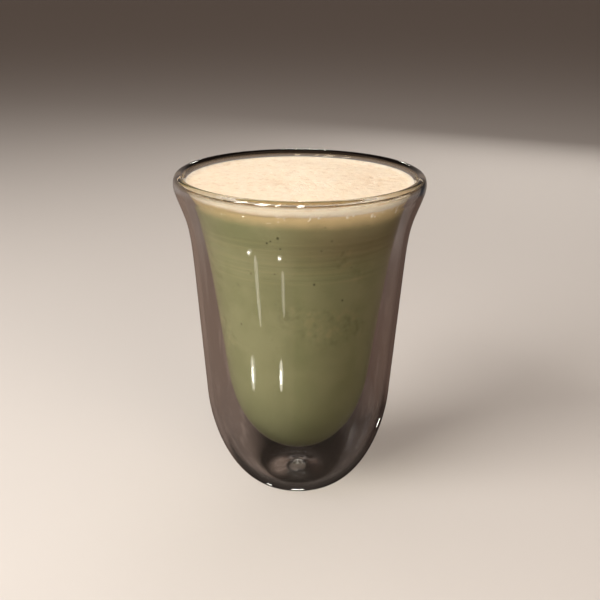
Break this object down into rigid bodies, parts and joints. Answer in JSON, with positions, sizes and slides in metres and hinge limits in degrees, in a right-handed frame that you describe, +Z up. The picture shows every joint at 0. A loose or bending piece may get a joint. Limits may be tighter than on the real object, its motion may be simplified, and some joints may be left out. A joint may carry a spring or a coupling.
{
  "type": "matcha latte drink in a double-walled glass",
  "caption": "Green matcha milk drink with a pale froth layer, filled to just below the flared lip of a tall round-bottomed double-walled glass.",
  "frame": {"origin": "centre of the glass's foot, on the surface that it stands on", "axes": "+Z up along the glass's axis of revolution; the object is round, so +X and +Y are free"},
  "size_m": [0.0872, 0.0872, 0.1186],
  "materials": {
    "clear_glass": "polished clear borosilicate glass",
    "clear_seal": "fire-polished clear bead that closes the vent",
    "matcha": null,
    "froth": null
  },
  "bodies": {
    "root": {"double_wall_glass": "clear_glass", "vent_seal": "clear_seal", "matcha_drink": "matcha", "milk_froth": "froth"}
  },
  "joints": []
}
